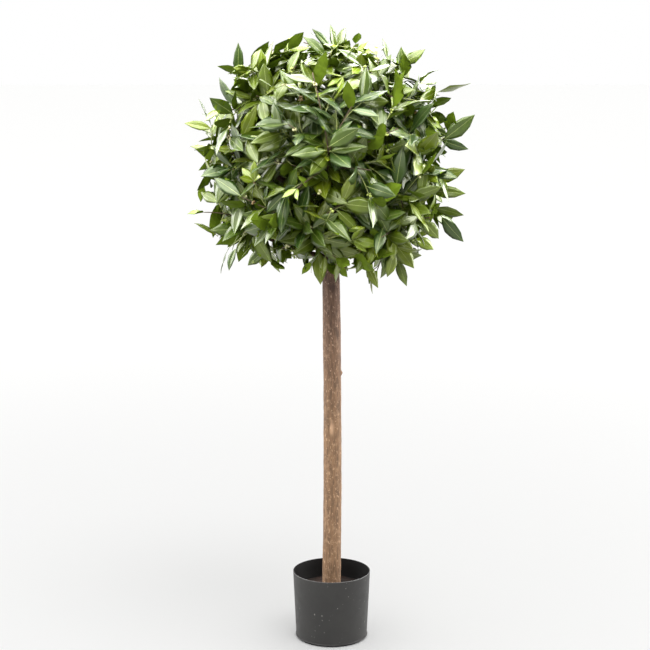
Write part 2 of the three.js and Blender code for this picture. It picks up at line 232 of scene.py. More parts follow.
def turned_surface(profile, sides):
    """A profile of radius and height pairs turned about the vertical axis. A pair with no radius
    becomes one closing point."""
    angle = np.linspace(0, 2 * np.pi, sides, endpoint=False)
    points, rings = [], []
    for radius, height in profile:
        count = 1 if radius == 0 else sides
        rings.append(np.arange(count) + sum(len(r) for r in rings))
        points.append(round_about(angle[:count], radius, height))
    faces = []
    for below, above in zip(rings[:-1], rings[1:]):
        lower = np.broadcast_to(below, sides)
        upper = np.broadcast_to(above, sides)
        corners = np.stack([lower, np.roll(lower, -1), np.roll(upper, -1), upper], axis=1).tolist()
        faces += [list(dict.fromkeys(face)) for face in corners]
    return np.concatenate(points), faces


inner_floor = POT_FOOT_HEIGHT + POT_FLOOR
lip_turn = np.linspace(0, np.pi, 9)
lip = np.stack([POT_RIM_RADIUS - POT_WALL / 2 + POT_WALL / 2 * np.cos(lip_turn),
                POT_HEIGHT - POT_WALL / 2 + POT_WALL / 2 * np.sin(lip_turn)], axis=1)
wall_heights = np.linspace(POT_FOOT_HEIGHT + 0.0024, POT_HEIGHT - 0.004, 24)
foot_steps = [  # from the underside to the wall, as seen from the wall's lower edge
    (-POT_FOOT_INSET - 0.0005, -POT_FOOT_HEIGHT), (-POT_FOOT_INSET, 0.0005 - POT_FOOT_HEIGHT),
    (-POT_FOOT_INSET, -0.0012), (-0.0004, -0.0005), (POT_EDGE, 0.0002), (POT_EDGE, 0.0008),
    (0.0001, 0.0018)]
pot_profile = np.concatenate([
    [[0, 0]],
    np.add(foot_steps, (pot_radius_at(POT_FOOT_HEIGHT), POT_FOOT_HEIGHT)),
    np.stack([pot_radius_at(wall_heights), wall_heights], axis=1),
    lip,
    [[pot_radius_at(POT_HEIGHT - 0.02) - POT_WALL, POT_HEIGHT - 0.02],
     [pot_radius_at(inner_floor) - POT_WALL, inner_floor], [0, inner_floor]],
])


def spread_of(tree, noise_scale, detail=3.0, stretch=(1, 1, 1)):
    """A noise on Object coordinates, stretched by a Mapping node. Returns its value socket."""
    mapping = node_of(tree, "Mapping", Scale=stretch)
    noise = node_of(tree, "TexNoise", Scale=noise_scale, Detail=detail)
    tree.links.new(node_of(tree, "TexCoord").outputs["Object"], mapping.inputs["Vector"])
    tree.links.new(mapping.outputs["Vector"], noise.inputs["Vector"])
    return noise.outputs["Fac"]


def mixed(tree, share, first, second):
    """Two colours mixed by a share. Each may be a socket or a plain value. Returns the colour socket."""
    mix = node_of(tree, "Mix")
    mix.data_type = "RGBA"
    for socket, value in ((mix.inputs[0], share), (mix.inputs[6], first), (mix.inputs[7], second)):
        if isinstance(value, bpy.types.NodeSocket):
            tree.links.new(value, socket)
        else:
            socket.default_value = value
    return mix.outputs[2]


def bumped(tree, shader, height, strength, distance):
    """Feeds a height through a Bump node into a shader's normal."""
    bump = node_of(tree, "Bump", Strength=strength, Distance=distance)
    tree.links.new(height, bump.inputs["Height"])
    tree.links.new(bump.outputs["Normal"], shader.inputs["Normal"])


def greys(*values):
    """The same value in all three channels, for each value."""
    return [(value, value, value, 1) for value in values]


def patches(tree, noise_scale, low, high, detail=3.0, edge=0.35):
    """Two tints that run into each other in soft patches. Returns the colour socket."""
    return steps_of(tree, spread_of(tree, noise_scale, detail), [(edge, low), (1 - edge, high)])


pot_plastic, pot_tree, pot_shader = shader_of("pot_plastic")
pot_shade = patches(pot_tree, 14, srgb(34, 33, 32), srgb(41, 40, 38), edge=0.3)
pot_specks = spread_of(pot_tree, 420, 1.0, (1, 1, 0.45))
pot_speck_mask = steps_of(pot_tree, pot_specks, [(0.772, BLACK), (0.79, WHITE)])
pot_scuffed = mixed(pot_tree, pot_speck_mask, pot_shade, POT_SCUFF)
pot_tree.links.new(pot_scuffed, pot_shader.inputs["Base Color"])
pot_tree.links.new(patches(pot_tree, 60, *greys(0.42, 0.56), edge=0.3), pot_shader.inputs["Roughness"])
bumped(pot_tree, pot_shader, spread_of(pot_tree, 900, 2.0), 0.15, 0.0003)

pot_points, pot_faces = turned_surface(pot_profile, POT_SIDES)
# The pot's inside is the same plastic as its outside, coloured near black as painted shade inside the
# pot.
pot_inside_painted_shade, inside_tree, inside_shader = shader_of(
    "pot_inside_painted_shade", Roughness=0.6, Specular_IOR_Level=0.25)
painted_inside_shade = patches(inside_tree, 30, srgb(5, 4, 4), srgb(8, 7, 6), edge=0.3)
inside_tree.links.new(painted_inside_shade, inside_shader.inputs["Base Color"])
pot = mesh_piece("pot_body", pot_points, pot_faces, [pot_plastic, pot_inside_painted_shade])
face_rows = np.repeat(np.arange(len(pot_profile) - 1), POT_SIDES)
pot_slots = (face_rows >= len(pot_profile) - POT_PAINTED_SHADE_ROWS).astype(int)
pot.data.polygons.foreach_set("material_index", pot_slots)
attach(pot, "root")
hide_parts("pot")

# ------------------------------------------------------------
# Cement. The pot is filled with dark brown cement to about two fingers below its rim. It holds the stem
# and gives the tree its weight. The poured surface is grainy and redder in patches.
FILL_TOP = 0.0975
FILL_GAP = 0.0003
FILL_SINK = 0.0012
FILL_WAVES = ((0.0007, 24, 9, 1), (0.0005, 60, 26, 2))
FILL_RINGS = 60
FILL_SIDES = 120


def lattice_noise(across, along, cells_across, cells_along, seed):
    """Smooth noise from -1 to 1 over a surface. across runs once round and joins up, along runs from 0
    to 1: random heights on a lattice of that many cells, blended with a smooth step inside each cell."""
    heights = np.random.default_rng(seed).uniform(-1, 1, (cells_across, cells_along + 2))
    a, b = across * cells_across, along * cells_along
    i, j = np.floor(a).astype(int), np.clip(np.floor(b).astype(int), 0, cells_along)
    s, t = a - i, b - j
    s, t = s * s * (3 - 2 * s), t * t * (3 - 2 * t)
    i, k = i % cells_across, (i + 1) % cells_across
    low = heights[i, j] * (1 - s) + heights[k, j] * s
    high = heights[i, j + 1] * (1 - s) + heights[k, j + 1] * s
    return low * (1 - t) + high * t


def waves(across, along, table):
    """The sum of lattice noises. The table's rows are height, cells across, cells along and seed."""
    return sum(height * lattice_noise(across, along, *cells) for height, *cells in table)


fill_share = np.linspace(0, 1, FILL_RINGS)[1:, None]
fill_turn = np.linspace(0, 1, FILL_SIDES, endpoint=False)[None, :]
fill_radius = (pot_radius_at(FILL_TOP) - POT_WALL - FILL_GAP) * fill_share
fill_height = FILL_TOP - FILL_SINK + waves(fill_turn, fill_share, FILL_WAVES)
fill_rings = round_about(2 * np.pi * fill_turn, fill_radius, fill_height)
fill_bottom = inner_floor + FILL_GAP
fill_foot = fill_rings[-1].copy()
fill_foot[:, :2] *= (pot_radius_at(fill_bottom) - POT_WALL - FILL_GAP) / fill_radius[-1, 0]
fill_foot[:, 2] = fill_bottom
fill_points = np.concatenate([fill_rings.reshape(-1, 3), fill_foot,
                              [[0, 0, FILL_TOP - FILL_SINK], [0, 0, fill_bottom]]])
fill_grid = np.arange(FILL_RINGS * FILL_SIDES).reshape(-1, FILL_SIDES)
fill_next = np.roll(fill_grid, -1, axis=1)
fill_quads = np.stack([fill_grid[:-1], fill_grid[1:], fill_next[1:], fill_next[:-1]], axis=2)
fill_faces = fill_quads.reshape(-1, 4).tolist()
fill_middle, fill_under = len(fill_points) - 2, len(fill_points) - 1
fill_faces += [[fill_middle, a, b] for a, b in zip(fill_grid[0], fill_next[0])]
fill_faces += [[fill_under, b, a] for a, b in zip(fill_grid[-1], fill_next[-1])]

cement, cement_tree, cement_shader = shader_of("brown_cement", Roughness=0.95, Specular_IOR_Level=0.2)
cement_shade = patches(cement_tree, 55, srgb(17, 12, 10), srgb(34, 25, 20), 5.0, 0.3)
cement_red = steps_of(cement_tree, spread_of(cement_tree, 25, 1.0),
                      list(zip((0.45, 0.75), greys(0, 0.6))))
cement_tree.links.new(mixed(cement_tree, cement_red, cement_shade, srgb(50, 27, 18)),
                      cement_shader.inputs["Base Color"])
bumped(cement_tree, cement_shader, spread_of(cement_tree, 700, 4.0), 0.6, 0.001)
fill = mesh_piece("cement_fill", fill_points, fill_faces, [cement])
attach(fill, "root")
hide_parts("pot_fill")

# ------------------------------------------------------------
# Trunk. One straight natural pole with its bark on, cast into the cement at its foot: a little flare,
# a slight lean, one knot on the right, and a thinner leader that runs on up inside the head.
TRUNK_FOOT = FILL_TOP + FILL_GAP
TRUNK_FORK = 0.750
TRUNK_TIP = 1.010
TRUNK_FOOT_RADIUS = 0.0191
TRUNK_FLARE = 0.0012
TRUNK_FLARE_HEIGHT = 0.018
TRUNK_FORK_RADIUS = 0.0165
LEADER_RADIUS = 0.0095
LEADER_START = 0.800
LEADER_TIP_RADIUS = 0.0045
TRUNK_LEAN = -0.002
LEADER_LEAN = 0.007
KNOT = (0.532, -4, 0.0050, 0.0036)  # height, azimuth, half width, half height
KNOT_RISE = 0.0040
KNOT_DIMPLE = 0.0012
SCAR = (0.425, -95, 0.0042, 0.0130)  # as the knot's
SCAR_DEPTH = 0.0005
TRUNK_BOW = 0.0022
BARK_THICKNESS = 0.0003
BARK_WAVES = ((0.00035, 5, 9, 11), (0.00030, 22, 26, 12), (0.00022, 40, 110, 13))
CRACK_DEPTH = 0.00045
CRACKS_FROM = 0.45
FULL_RELIEF_RADIUS = 0.012
TRUNK_SIDES = 96
TRUNK_ROWS = 420
# Heights over which the lighter foot bark gives way to the darker upper bark, which is painted shade
# from the crown
FOOT_TINT_HEIGHTS = (0.42, 0.70)
STREAK_EDGE = (0.36, 0.62)
CLOUD_EDGE = (0.54, 1.05)
FLECK_EDGE = (0.64, 0.70)
FLECK_STRETCH = (1, 1, 0.55)


def trunk_centre_at(height):
    """The middle of the trunk: it leans sideways with the square of the height up to the fork, with a
    slight sine bow, and the leader leans straight back to the other side."""
    bare = np.clip((height - TRUNK_FOOT) / (TRUNK_FORK - TRUNK_FOOT), 0, 1)
    inside = np.clip((height - TRUNK_FORK) / (TRUNK_TIP - TRUNK_FORK), 0, 1)
    sideways = TRUNK_LEAN * bare ** 2 + TRUNK_BOW * np.sin(np.pi * bare) + LEADER_LEAN * inside
    return np.stack([sideways, 0 * height, height], axis=-1)


def trunk_radius_at(height):
    """The trunk's radius: straight tapers between foot, fork, leader's start and tip, and a flare at the
    foot that dies away exponentially."""
    heights = [TRUNK_FOOT, TRUNK_FORK, LEADER_START, TRUNK_TIP]
    radii = [TRUNK_FOOT_RADIUS - TRUNK_FLARE, TRUNK_FORK_RADIUS, LEADER_RADIUS, LEADER_TIP_RADIUS]
    taper = np.interp(height, heights, radii)
    return taper + TRUNK_FLARE * np.exp(-3 * (height - TRUNK_FOOT) / TRUNK_FLARE_HEIGHT)


def ring_faces(rows, sides, start=0):
    """The quads between the rings of a tube whose points are numbered ring by ring, and one closing
    face at each end."""
    grid = start + np.arange(rows * sides).reshape(rows, sides)
    beside = np.roll(grid, -1, axis=1)
    quads = np.stack([grid[:-1], beside[:-1], beside[1:], grid[1:]], axis=2).reshape(-1, 4).tolist()
    return quads + [grid[0, ::-1].tolist(), grid[-1].tolist()]


trunk_height = np.linspace(TRUNK_FOOT, TRUNK_TIP, TRUNK_ROWS)[:, None]
trunk_up = (trunk_height - TRUNK_FOOT) / (TRUNK_TIP - TRUNK_FOOT)
trunk_turn = np.linspace(0, 1, TRUNK_SIDES, endpoint=False)[None, :]
bark_relief = BARK_THICKNESS + waves(trunk_turn, trunk_up, BARK_WAVES) \
    - CRACK_DEPTH * np.clip(lattice_noise(trunk_turn, trunk_up, 30, 34, 14) - CRACKS_FROM, 0, 1)


def away_from(height, azimuth, half_width, half_height):
    """How far each point of the bark lies from a spot on it: 0 at the spot, 1 on an oval round it."""
    turn = (trunk_turn - azimuth / 360 + 0.5) % 1 - 0.5
    aside = turn * 2 * np.pi * trunk_radius_at(height)
    return np.hypot(aside / half_width, (trunk_height - height) / half_height)


knot_away = away_from(*KNOT)
bark_relief += KNOT_RISE * np.exp(-knot_away ** 2) - KNOT_DIMPLE * np.exp(-(knot_away * 2.6) ** 2)
scar_share = np.exp(-away_from(*SCAR) ** 2.6)
bark_relief -= SCAR_DEPTH * scar_share
trunk_core = trunk_radius_at(trunk_height)
trunk_reach = trunk_core + bark_relief * np.minimum(1, trunk_core / FULL_RELIEF_RADIUS)
trunk_rings = trunk_centre_at(trunk_height) + round_about(2 * np.pi * trunk_turn, trunk_reach)


def bark_group():
    """Bark: three browns in streaks that run with the wood, crossed by small pale flecks, and a height
    for the cracks. Lengthwise sets how far a streak runs before it ends."""
    group = bpy.data.node_groups.new("bark_streaks", "ShaderNodeTree")
    for way, kind, names in (
            ("INPUT", "Color", ("Dark", "Middle", "Pale")),
            ("INPUT", "Float", ("Fineness", "Lengthwise", "Flecks")),
            ("OUTPUT", "Color", ("Colour",)), ("OUTPUT", "Float", ("Height",))):
        for name in names:
            group.interface.new_socket(name, in_out=way, socket_type="NodeSocket" + kind)
    take = group.nodes.new("NodeGroupInput")
    give = group.nodes.new("NodeGroupOutput")
    place = node_of(group, "TexCoord").outputs["Object"]
    stretch = node_of(group, "CombineXYZ", X=1, Y=1)
    along = node_of(group, "VectorMath")
    along.operation = "MULTIPLY"
    flatten = node_of(group, "Mapping", Scale=FLECK_STRETCH)
    streak = node_of(group, "TexNoise", Detail=4, Roughness=0.62)
    cloud = node_of(group, "TexNoise", Scale=110, Detail=4)
    fleck = node_of(group, "TexNoise", Scale=330, Detail=1)
    for value, socket in (
            (take.outputs["Lengthwise"], stretch.inputs["Z"]), (place, along.inputs[0]),
            (stretch.outputs[0], along.inputs[1]), (along.outputs[0], streak.inputs["Vector"]),
            (take.outputs["Fineness"], streak.inputs["Scale"]), (place, cloud.inputs["Vector"]),
            (place, flatten.inputs["Vector"]), (flatten.outputs["Vector"], fleck.inputs["Vector"])):
        group.links.new(value, socket)
    browns = mixed(group, ranged(group, streak.outputs["Fac"], STREAK_EDGE),
                   take.outputs["Dark"], take.outputs["Middle"])
    clouded = mixed(group, ranged(group, cloud.outputs["Fac"], CLOUD_EDGE), browns, take.outputs["Pale"])
    share = node_of(group, "Math")
    share.operation = "MULTIPLY"
    group.links.new(ranged(group, fleck.outputs["Fac"], FLECK_EDGE), share.inputs[0])
    group.links.new(take.outputs["Flecks"], share.inputs[1])
    flecked = mixed(group, share.outputs[0], clouded, take.outputs["Pale"])
    group.links.new(flecked, give.inputs["Colour"])
    group.links.new(streak.outputs["Fac"], give.inputs["Height"])
    return group


bark_streaks = bark_group()


def bark_material(name, tints, fineness, lengthwise, flecks, foot_tints=None):
    """Bark in a piece's own dark, middle and pale display colours. foot_tints are three more, which
    take over towards the foot of the stem; the change to the darker colours above is painted shade from
    the crown."""
    material, tree, shader = shader_of(name, Roughness=0.85)

    def streaks(dark, middle, pale):
        """The bark's pattern in three browns. Returns its node."""
        node = node_of(tree, "Group")
        node.node_tree = bark_streaks
        return settle(node, Dark=srgb(*dark), Middle=srgb(*middle), Pale=srgb(*pale),
                      Fineness=fineness, Lengthwise=lengthwise, Flecks=flecks)

    upper = streaks(*tints)
    colour = upper.outputs["Colour"]
    if foot_tints:
        lower = streaks(*foot_tints)
        split = node_of(tree, "SeparateXYZ")
        tree.links.new(node_of(tree, "TexCoord").outputs["Object"], split.inputs[0])
        climb = ranged(tree, split.outputs["Z"], FOOT_TINT_HEIGHTS)
        colour = mixed(tree, climb, lower.outputs["Colour"], colour)
    tree.links.new(colour, shader.inputs["Base Color"])
    bumped(tree, shader, upper.outputs["Height"], 0.7, 0.0012)
    return material


# The upper tints are darker than the foot tints as painted shade from the crown over the upper trunk.
trunk_bark = bark_material("trunk_bark", ((64, 45, 35), (95, 70, 55), (142, 116, 98)), 300, 0.14, 0.85,
                           ((87, 65, 45), (121, 92, 65), (163, 134, 105)))
trunk_faces = ring_faces(TRUNK_ROWS, TRUNK_SIDES)
trunk = mesh_piece("trunk_with_bark", trunk_rings.reshape(-1, 3), trunk_faces, [trunk_bark])
scar = trunk.data.attributes.new("scar", "FLOAT", "POINT")
scar.data.foreach_set("value", scar_share.ravel().astype(np.float32))
bark_tree = trunk_bark.node_tree
bark_colour = bark_tree.nodes["Principled BSDF"].inputs["Base Color"]
scar_mark = node_of(bark_tree, "Attribute")
scar_mark.attribute_name = "scar"
scar_tint = steps_of(bark_tree, scar_mark.outputs["Fac"], list(zip((0.05, 0.95), greys(0, 0.5))))
healed = mixed(bark_tree, scar_tint, bark_colour.links[0].from_socket, srgb(196, 160, 128))
bark_tree.links.new(healed, bark_colour)
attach(trunk, "root")
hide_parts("trunk")

# ------------------------------------------------------------
# Boughs. Thinner branches of the same wood, let into the trunk in three tiers. Each carries one mass of
# foliage. They sweep out first and then up.
HEAD_CENTRE = np.array([-0.010, 0, 0.945])
BOUGH_TIERS = (  # how many, first one's start, how much higher the next, reach, height, first azimuth
    (5, 0.753, 0.008, 0.152, 0.835, 188),
    (4, 0.842, 0.015, 0.150, 0.958, 271),
    (3, 0.925, 0.020, 0.104, 1.070, 200),
)
BOUGH_REACH_SHARE = 0.72
BOUGH_RISE_SHARE = 0.5
BOUGH_MID_RISE_SHARE = 0.3
BOUGH_BASE_RADIUS = 0.0072
BOUGH_TIP_RADIUS = 0.0044
BOUGH_SIDES = 20
BOUGH_ROWS = 60
RING_LEAN = (0.31, 0.27, 0.91)  # a direction that no limb runs along


def unit(vectors):
    """Vectors brought to a length of one."""
    return vectors / np.linalg.norm(vectors, axis=-1, keepdims=True)


def bent_path(start, bend, tip, rows):
    """Points along a curve that starts towards its bend and ends coming from it: the sum of the three
    points weighted by (1-s) squared, 2s(1-s) and s squared."""
    s = np.linspace(0, 1, rows)[:, None]
    return (1 - s) ** 2 * start + 2 * s * (1 - s) * bend + s ** 2 * tip


def limb_rings(path, radius):
    """Rings carried along a path: each stands square to it, and its points lie at the radius given for
    each ring and side."""
    along = unit(np.gradient(path, axis=0))
    flat = np.cross(along.mean(axis=0), RING_LEAN)
    across = unit(np.cross(along, np.cross(flat, along.mean(axis=0))))
    other = np.cross(along, across)
    turn = 2 * np.pi * np.arange(radius.shape[1]) / radius.shape[1]
    cosine, sine = np.cos(turn)[None, :, None], np.sin(turn)[None, :, None]
    return path[:, None] + radius[:, :, None] * (cosine * across[:, None] + sine * other[:, None])


bough_ends = []
mass_middles = []
for boughs, leave, climb, reach, height, turn in BOUGH_TIERS:
    for i in range(boughs):
        azimuth = np.radians(turn + i * 360 / boughs)
        middle = HEAD_CENTRE + round_about(azimuth, reach)
        middle[2] = height
        start = trunk_centre_at(leave + (2 * i) % boughs * climb)
        tip = start + BOUGH_REACH_SHARE * (middle - start)
        tip[2] = start[2] + BOUGH_RISE_SHARE * (middle[2] - start[2])
        bend = (start + tip) / 2
        bend[2] = start[2] + BOUGH_MID_RISE_SHARE * (tip[2] - start[2])
        bough_ends.append((start, bend, tip))
        mass_middles.append(middle)

bough_bark = bark_material("bough_bark", ((66, 46, 35), (96, 72, 56), (124, 100, 82)), 190, 0.5, 0.4)
for number, (start, bend, tip) in enumerate(bough_ends, 1):
    path = bent_path(start, bend, tip, BOUGH_ROWS)
    run = np.linspace(0, 1, BOUGH_ROWS)[:, None]
    side = np.linspace(0, 1, BOUGH_SIDES, endpoint=False)[None, :]
    radius = BOUGH_BASE_RADIUS + (BOUGH_TIP_RADIUS - BOUGH_BASE_RADIUS) * run \
        + waves(side, run, ((0.00045, 5, 8, 100 + number), (0.00022, 12, 26, 200 + number)))
    rings = limb_rings(path, radius).reshape(-1, 3)
    name = f"bough_{number:02d}"
    bough = mesh_piece(f"bark_{name}", rings, ring_faces(BOUGH_ROWS, BOUGH_SIDES), [bough_bark])
    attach(bough, "root")
    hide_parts(name)

# ------------------------------------------------------------
# Twigs. Wire-cored plastic stems in brown and green: a stem goes on from each bough's tip, shoots
# branch from it towards points spread evenly over the head, and side twigs fork from the shoots.
HEAD_HALF_WIDTH = 0.268
HEAD_ABOVE = 0.262
HEAD_BELOW = 0.238
SQUARENESS_ABOVE = 2.35
SQUARENESS_BELOW = 2.8
TOP_MASS_HEIGHT = 1.112
LEADER_WAY = np.array([0.02, 0, 1.0])
STEM_REACH_SHARE = 0.7
STEM_BEND_SHARE = 0.4
STEM_RADIUS = (0.0044, 0.0030)
SHOOT_RADIUS = (0.0016, 0.0010)
SHOOT_BEND_SHARE = 0.35
SHOOT_BACK_SHARE = 0.7
SHOOT_PLACES = (0.1, 0.97)
STEM_STEPS = 40
SHOOT_STEPS = 12
SIDE_STEPS = 6
SHOOT_SHELLS = ((86, 0.81), (24, 0.55))
SHELL_SPREAD = 0.1
SIDE_TWIG_PLACES = (0.5, 0.78)
SIDE_TWIG_LENGTH = (0.050, 0.082)
SIDE_TWIG_SPREAD = (40, 64)
SIDE_TWIG_LIFT = 0.15
SIDE_TWIG_BEND = 0.3
SIDE_TWIG_TRIES = 6
STRAY_SAG = 0.1
TURN_LEAN = (0.3, 0.2, 1.0)  # a direction that no twig runs along
SIDE_TWIG_RADIUS = (0.0012, 0.0008)
TWIG_REACH_SHARE = 0.82
TWIG_SIDES = {"stem": 9, "shoot": 6, "side": 5, "stray": 5}
LOWEST_TWIG = 0.74
SEED = 8
GOLDEN_ANGLE = np.pi * (3 - np.sqrt(5))
chance = np.random.default_rng(5)


def even_chance(seed):
    """Random numbers from 0 to 1 that are the same for the same seed: a counter goes up by a fixed odd
    number, and its bits are mixed with 32-bit products and shifts."""
    counter, word = seed, 0xFFFFFFFF
    while True:
        counter = (counter + 0x6D2B79F5) & word
        bits = ((counter ^ counter >> 15) * (1 | counter)) & word
        bits = ((bits + ((bits ^ bits >> 7) * (61 | bits) & word)) & word) ^ bits
        yield ((bits ^ bits >> 14) & word) / 2 ** 32


def head_reach(direction):
    """How far the head reaches from its centre in a direction: a rounded box, squarer below. The powers
    of the direction's shares of the half width and of the height add up to one on it."""
    above = direction[..., 2] > 0
    power = np.where(above, SQUARENESS_ABOVE, SQUARENESS_BELOW)
    across = np.hypot(direction[..., 0], direction[..., 1]) / HEAD_HALF_WIDTH
    along = np.abs(direction[..., 2]) / np.where(above, HEAD_ABOVE, HEAD_BELOW)
    return (across ** power + along ** power) ** (-1 / power)


def share_of_reach(places):
    """How far out places lie in the head: 0 at its centre, 1 on its outside."""
    outward = places - HEAD_CENTRE
    distance = np.linalg.norm(outward, axis=-1)
    return distance / head_reach(outward / np.maximum(distance, 1e-9)[..., None])


def spread_about(way, spread, turns):
    """Directions that stand off a way by an angle, turned about it by each of the turns."""
    across = unit(np.cross(way, TURN_LEAN))
    other = np.cross(way, across)
    turns = np.asarray(turns)[..., None]
    return np.cos(spread) * way + np.sin(spread) * (np.cos(turns) * across + np.sin(turns) * other)


limb_tips = [(tip, unit(tip - bend)) for _, bend, tip in bough_ends]
limb_tips.append((trunk_centre_at(TRUNK_TIP), LEADER_WAY))
mass_middles = np.array([*mass_middles, (*HEAD_CENTRE[:2], TOP_MASS_HEIGHT)])
shoot_tips = []
shoot_chance = even_chance(SEED)
for count, share in SHOOT_SHELLS:
    k = np.arange(count)
    high = 1 - (2 * k + 1) / count
    wide = np.sqrt(1 - high ** 2)
    direction = round_about(k * GOLDEN_ANGLE, wide, high)
    drawn = np.array([next(shoot_chance) for _ in k])
    far = head_reach(direction) * (share + SHELL_SPREAD * (2 * drawn - 1))
    shoot_tips.append(HEAD_CENTRE + direction * far[:, None])
shoot_tips = np.concatenate(shoot_tips)
tip_owner = np.argmin(np.linalg.norm(shoot_tips[:, None] - mass_middles[None], axis=2), axis=1)

twigs = []  # mass, kind, path, first and last radius
for mass, (middle, (limb_tip, limb_way)) in enumerate(zip(mass_middles, limb_tips)):
    outward = unit(middle - HEAD_CENTRE)
    stem_end = HEAD_CENTRE + outward * head_reach(outward) * STEM_REACH_SHARE
    stem_bend = limb_tip + limb_way * STEM_BEND_SHARE * np.linalg.norm(stem_end - limb_tip)
    stem = bent_path(limb_tip, stem_bend, stem_end, STEM_STEPS + 1)
    twigs.append((mass, "stem", stem[::4], STEM_RADIUS))
    chord = stem[-1] - stem[0]
    for tip in shoot_tips[tip_owner == mass]:
        along = np.dot(tip - stem[0], chord) / np.dot(chord, chord)
        aside = np.linalg.norm(stem[0] + along * chord - tip) / np.linalg.norm(chord)
        place = int(round(np.clip(along - SHOOT_BACK_SHARE * aside, *SHOOT_PLACES) * STEM_STEPS))
        onward = unit(stem[min(place + 1, STEM_STEPS)] - stem[max(place - 1, 0)])
        start = stem[place]
        bend = start + onward * SHOOT_BEND_SHARE * np.linalg.norm(tip - start)
        shoot = bent_path(start, bend, tip, SHOOT_STEPS + 1)
        twigs.append((mass, "shoot", shoot, SHOOT_RADIUS))
        turn = chance.uniform(0, 2 * np.pi)
        for share in SIDE_TWIG_PLACES:
            fork = int(round(share * SHOOT_STEPS))
            base = shoot[fork]
            way = unit(shoot[fork + 1] - shoot[fork - 1])
            for _ in range(SIDE_TWIG_TRIES):
                turn += GOLDEN_ANGLE
                spread = np.radians(chance.uniform(*SIDE_TWIG_SPREAD))
                aim = spread_about(way, spread, turn)
                length = chance.uniform(*SIDE_TWIG_LENGTH)
                end = base + aim * length + SIDE_TWIG_LIFT * length * unit(base - HEAD_CENTRE)
                if share_of_reach(end) < TWIG_REACH_SHARE and end[2] > LOWEST_TWIG:
                    bend = base + way * SIDE_TWIG_BEND * length
                    side_twig = bent_path(base, bend, end, SIDE_STEPS + 1)
                    twigs.append((mass, "side", side_twig, SIDE_TWIG_RADIUS))
                    break

# Stray sprays stand out of the round: each is a leaf's root and tip, and how flat it faces the front
STRAY_LEAVES = (
    ((-0.174, -0.06, 1.092), (-0.167, -0.07, 1.158), 0.6),
    ((-0.222, -0.02, 1.000), (-0.274, -0.03, 1.014), 0.9),
    ((-0.228, 0.02, 1.005), (-0.250, 0.02, 1.055), 0.3),
    ((-0.215, -0.03, 0.800), (-0.250, -0.04, 0.836), 0.5),
    ((-0.192, -0.05, 0.782), (-0.218, -0.06, 0.738), 0.3),
    ((-0.222, 0.04, 0.960), (-0.272, 0.05, 0.968), 0.6),
    ((0.192, -0.03, 1.068), (0.256, -0.04, 1.082), 0.15),
    ((0.202, -0.06, 0.980), (0.262, -0.08, 1.026), 0.7),
    ((0.198, -0.06, 0.984), (0.250, -0.07, 0.962), 0.5),
    ((0.127, -0.04, 1.116), (0.170, -0.05, 1.149), 0.9),
    ((0.004, -0.02, 1.146), (0.000, -0.02, 1.192), 0.6),
    ((0.006, 0.00, 1.148), (0.034, 0.01, 1.189), 0.6),
    ((0.000, -0.03, 1.146), (-0.036, -0.04, 1.184), 0.7),
    ((0.103, 0.02, 1.128), (0.099, 0.02, 1.169), 0.7),
    ((0.202, -0.05, 0.842), (0.243, -0.06, 0.790), 0.6),
    ((0.062, -0.09, 0.757), (0.086, -0.10, 0.712), 1.0),
    ((0.120, -0.07, 0.770), (0.138, -0.08, 0.712), 0.4),
    ((0.072, -0.08, 0.742), (0.070, -0.09, 0.700), 0.1),
    ((-0.176, -0.08, 0.786), (-0.200, -0.09, 0.746), 0.6),
    ((-0.012, -0.12, 0.776), (-0.018, -0.13, 0.738), 0.8),
    ((0.184, -0.05, 0.906), (0.246, -0.06, 0.928), 0.7),
    ((0.178, -0.05, 0.888), (0.248, -0.06, 0.884), 0.9),
    ((0.190, -0.04, 0.856), (0.246, -0.05, 0.842), 0.4),
)
shoot_points = np.concatenate([path[3:] for _, kind, path, _ in twigs if kind == "shoot"])
shoot_masses = np.concatenate(
    [np.full(len(path) - 3, mass) for mass, kind, path, _ in twigs if kind == "shoot"])
stray_masses = []
for root, _, _ in STRAY_LEAVES:
    nearest = int(np.argmin(np.linalg.norm(shoot_points - root, axis=1)))
    stray_masses.append(int(shoot_masses[nearest]))
    base, end = shoot_points[nearest], np.array(root)
    bend = (base + end) / 2 + unit(base - HEAD_CENTRE) * STRAY_SAG * np.linalg.norm(end - base)
    stray = bent_path(base, bend, end, SIDE_STEPS + 1)
    twigs.append((stray_masses[-1], "stray", stray, SIDE_TWIG_RADIUS))

twig_bark = bark_material("twig_brown", ((58, 46, 32), (82, 68, 46), (112, 98, 70)), 260, 0.8, 0.2)
shoot_green, shoot_tree, shoot_shader = shader_of("shoot_green", Roughness=0.5)
shoot_tree.links.new(patches(shoot_tree, 60, srgb(106, 116, 58), srgb(138, 146, 78)),
                     shoot_shader.inputs["Base Color"])
twig_points, twig_faces, twig_slots, twig_count = [], [], [], 0
for mass, kind, path, (first, last) in twigs:
    sides = TWIG_SIDES[kind]
    radius = np.linspace(first, last, len(path))[:, None] * np.ones(sides)
    rings = limb_rings(path, radius)
    faces = ring_faces(len(path), sides, twig_count)
    twig_points.append(rings.reshape(-1, 3))
    twig_faces += faces
    twig_slots += [int(kind in ("side", "stray"))] * len(faces)
    twig_count += rings.shape[0] * sides
twig_piece = mesh_piece("twigs", np.concatenate(twig_points), twig_faces, [twig_bark, shoot_green])
twig_piece.data.polygons.foreach_set("material_index", twig_slots)
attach(twig_piece, "root")
foliage_nodes = [f"foliage_{number:02d}" for number in range(1, len(mass_middles))] + ["foliage_top"]
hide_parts(*foliage_nodes)

